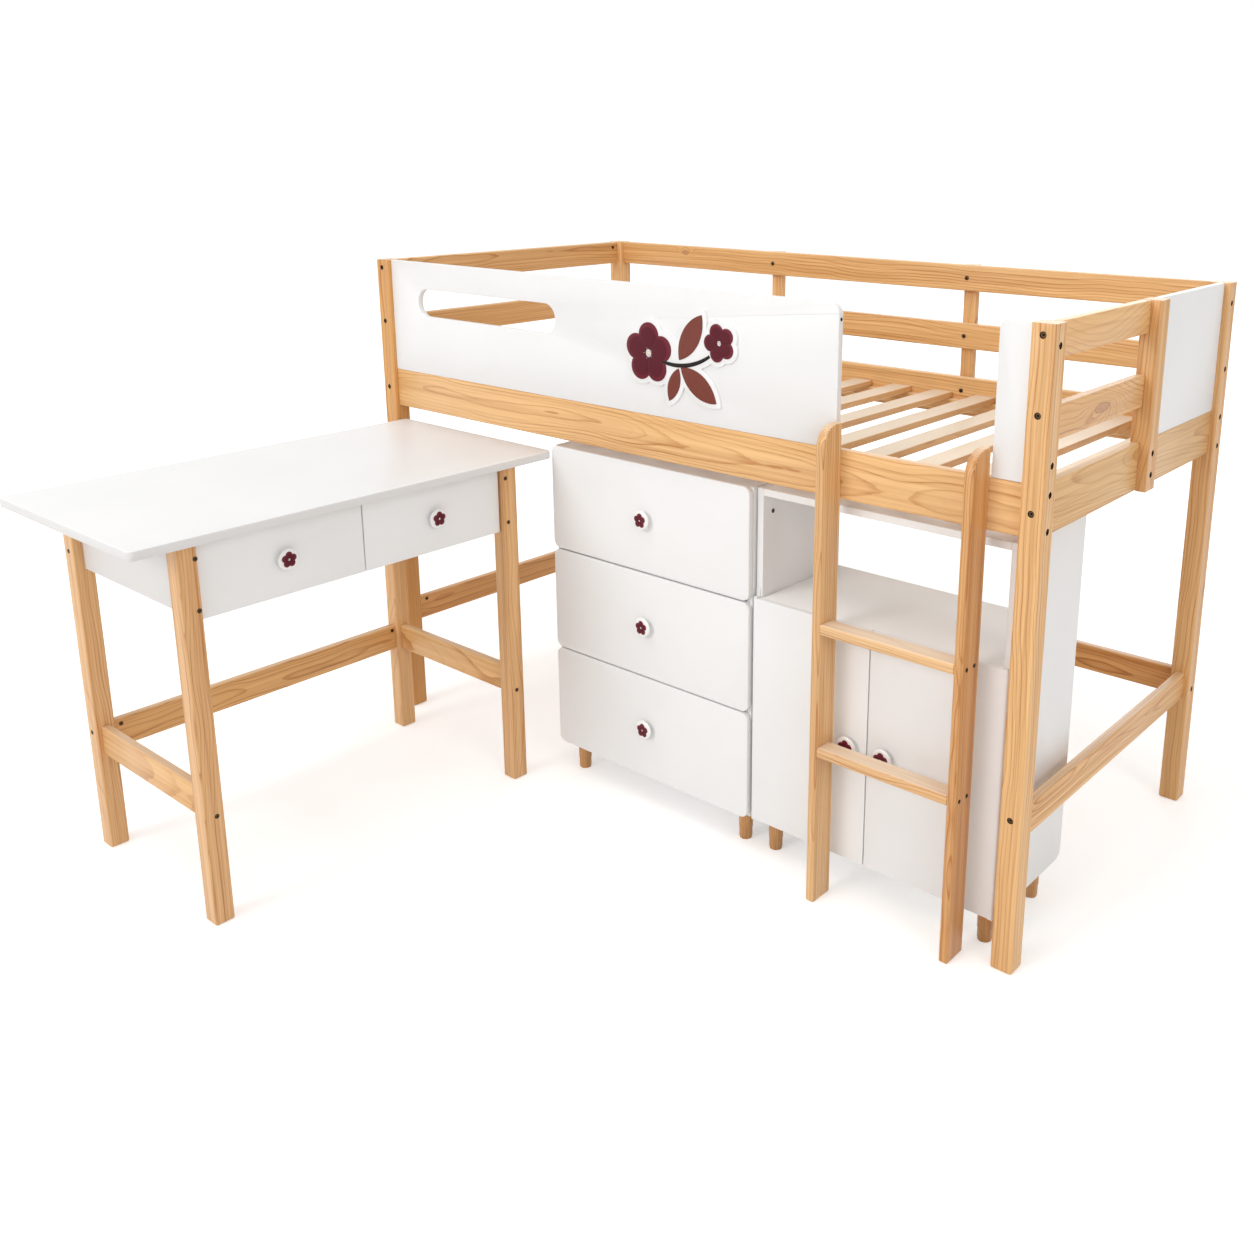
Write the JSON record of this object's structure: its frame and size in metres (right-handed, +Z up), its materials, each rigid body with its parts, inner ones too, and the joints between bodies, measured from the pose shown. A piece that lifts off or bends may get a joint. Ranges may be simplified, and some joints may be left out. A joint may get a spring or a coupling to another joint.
{
  "type": "combination bed",
  "caption": "Half-high pine bed with white guard panels, upright ladder, desk, chest of drawers and small cabinet.",
  "frame": {"origin": "centre of the floor area that the whole set covers, on the floor", "axes": "+Z up; +X along the bed, from the desk's end to the ladder's end; +Y from the open front to the back"},
  "size_m": [1.88, 1.896, 1.237],
  "materials": {
    "pine": "satin",
    "slat_pine": "matte",
    "white_paint": "satin",
    "dark_bronze": "satin",
    "white_metal": "satin",
    "burgundy": "satin",
    "russet": "satin",
    "near_black": "satin"
  },
  "bodies": {
    "bed_set": {"post_front_left": "pine", "post_front_right": "pine", "post_back_left": "pine", "post_back_right": "pine", "front_side_rail": "pine", "back_side_rail": "pine", "left_end_rail": "pine", "right_end_rail": "pine", "back_guard_rails": "pine", "left_guard_rails": "pine", "right_guard_rails": "pine", "right_guard_upright": "pine", "back_guard_uprights": "pine", "left_low_rail": "pine", "right_low_rail": "pine", "back_low_rail": "pine", "slat_ledgers": "pine", "ladder_left_stringer": "pine", "ladder_right_stringer": "pine", "ladder_treads": "pine", "desk_legs": "pine", "desk_long_stretcher": "pine", "desk_end_stretchers": "pine", "desk_drawer_runners": "pine", "chest_feet": "pine", "cabinet_feet": "pine", "bed_slats": "slat_pine", "front_guard_panel": "white_paint", "entry_panel": "white_paint", "right_end_panel": "white_paint", "sprig_backing_board": "white_paint", "desk_top": "white_paint", "desk_end_aprons": "white_paint", "desk_back_apron": "white_paint", "chest_sides": "white_paint", "chest_boards": "white_paint", "chest_back": "white_paint", "cabinet_sides": "white_paint", "cabinet_boards": "white_paint", "cabinet_back": "white_paint", "bed_bolts": "dark_bronze", "ladder_screws": "dark_bronze", "cabinet_pivots": "white_metal", "sprig_blossoms": "burgundy", "sprig_leaves": "russet", "sprig_stem": "near_black"},
    "desk_drawer_near": {"desk_drawer_near": "white_paint", "desk_knob_near": "white_paint"},
    "desk_drawer_far": {"desk_drawer_far": "white_paint", "desk_knob_far": "white_paint"},
    "chest_drawer_top": {"chest_drawer_top": "white_paint", "chest_knob_top": "white_paint"},
    "chest_drawer_middle": {"chest_drawer_middle": "white_paint", "chest_knob_middle": "white_paint"},
    "chest_drawer_bottom": {"chest_drawer_bottom": "white_paint", "chest_knob_bottom": "white_paint"},
    "cabinet_door_left": {"cabinet_door_left": "white_paint", "cabinet_knob_left": "white_paint"},
    "cabinet_door_right": {"cabinet_door_right": "white_paint", "cabinet_knob_right": "white_paint"}
  },
  "joints": [
    {"name": "desk_drawer_near_slide", "type": "slide", "parent": "bed_set", "child": "desk_drawer_near", "axis": [1, 0, 0], "range_m": [0, 0.28]},
    {"name": "desk_drawer_far_slide", "type": "slide", "parent": "bed_set", "child": "desk_drawer_far", "axis": [1, 0, 0], "range_m": [0, 0.28]},
    {"name": "chest_drawer_top_slide", "type": "slide", "parent": "bed_set", "child": "chest_drawer_top", "axis": [0, -1, 0], "range_m": [0, 0.11]},
    {"name": "chest_drawer_middle_slide", "type": "slide", "parent": "bed_set", "child": "chest_drawer_middle", "axis": [0, -1, 0], "range_m": [0, 0.2]},
    {"name": "chest_drawer_bottom_slide", "type": "slide", "parent": "bed_set", "child": "chest_drawer_bottom", "axis": [0, -1, 0], "range_m": [0, 0.2]},
    {"name": "cabinet_door_left_hinge", "type": "hinge", "parent": "bed_set", "child": "cabinet_door_left", "pos_m": [0.2875, 0.0758, 0.338], "axis": [0, 0, -1], "range_deg": [0, 3]},
    {"name": "cabinet_door_right_hinge", "type": "hinge", "parent": "bed_set", "child": "cabinet_door_right", "pos_m": [0.8675, 0.0758, 0.338], "axis": [0, 0, 1], "range_deg": [0, 3]}
  ]
}
